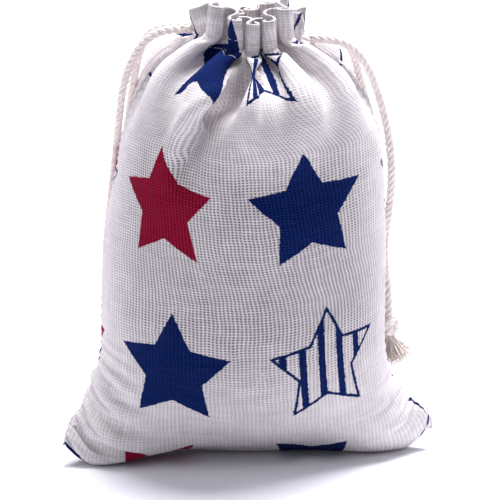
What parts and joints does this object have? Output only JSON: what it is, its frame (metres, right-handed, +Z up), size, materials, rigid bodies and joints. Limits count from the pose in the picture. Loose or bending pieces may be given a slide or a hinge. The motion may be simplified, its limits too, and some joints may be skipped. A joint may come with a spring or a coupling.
{
  "type": "drawstring gift sack",
  "caption": "Small gathered fabric gift sack with a double-drawstring neck, a header ruffle and knotted hanging cords.",
  "frame": {"origin": "middle of the base on the surface the sack stands on", "axes": "+Z up, -Y to the printed front, +X to the right as seen from the front"},
  "size_m": [0.0984, 0.0598, 0.124],
  "materials": {
    "printed_cloth": "open plain-weave cotton and linen, printed with stars",
    "drawcord": "twisted three-ply natural cotton",
    "sewing_thread": "matte spun thread"
  },
  "bodies": {
    "root": {"front_panel": "printed_cloth", "back_panel": "printed_cloth", "front_casing": "printed_cloth", "back_casing": "printed_cloth", "front_casing_stitching": "sewing_thread", "back_casing_stitching": "sewing_thread", "left_side_seam": "printed_cloth", "right_side_seam": "printed_cloth", "bottom_seam": "printed_cloth", "left_drawstring_loop": "drawcord", "right_drawstring_loop": "drawcord"},
    "front_mouth": {"front_header": "printed_cloth"},
    "back_mouth": {"back_header": "printed_cloth"},
    "left_cord": {"left_cord_leads": "drawcord"},
    "left_tail": {"left_front_strand": "drawcord", "left_rear_strand": "drawcord", "left_knot": "drawcord"},
    "left_fray": {"left_tassel": "drawcord"},
    "right_cord": {"right_cord_leads": "drawcord"},
    "right_tail": {"right_front_strand": "drawcord", "right_rear_strand": "drawcord", "right_knot": "drawcord"},
    "right_fray": {"right_tassel": "drawcord"}
  },
  "joints": [
    {"name": "front_header_open", "type": "slide", "parent": "root", "child": "front_mouth", "axis": [0, -1, 0], "range_m": [0, 0.006]},
    {"name": "back_header_open", "type": "slide", "parent": "root", "child": "back_mouth", "axis": [0, 1, 0], "range_m": [0, 0.006]},
    {"name": "left_cord_pull", "type": "slide", "parent": "root", "child": "left_cord", "axis": [-1, 0, 0], "range_m": [0, 0.008]},
    {"name": "left_cord_swing", "type": "hinge", "parent": "left_cord", "child": "left_tail", "pos_m": [-0.017, 0, 0.11725], "axis": [0, 1, 0], "range_deg": [0, 60]},
    {"name": "left_tassel_bend", "type": "hinge", "parent": "left_tail", "child": "left_fray", "pos_m": [-0.036, 0.0158, 0.0353], "axis": [0, 1, 0], "range_deg": [0, 35]},
    {"name": "right_cord_pull", "type": "slide", "parent": "root", "child": "right_cord", "axis": [1, 0, 0], "range_m": [0, 0.008]},
    {"name": "right_cord_swing", "type": "hinge", "parent": "right_cord", "child": "right_tail", "pos_m": [0.017, 0, 0.11465], "axis": [0, -1, 0], "range_deg": [0, 60]},
    {"name": "right_tassel_bend", "type": "hinge", "parent": "right_tail", "child": "right_fray", "pos_m": [0.0379, 0.0106, 0.0287], "axis": [0, -1, 0], "range_deg": [0, 35]}
  ]
}
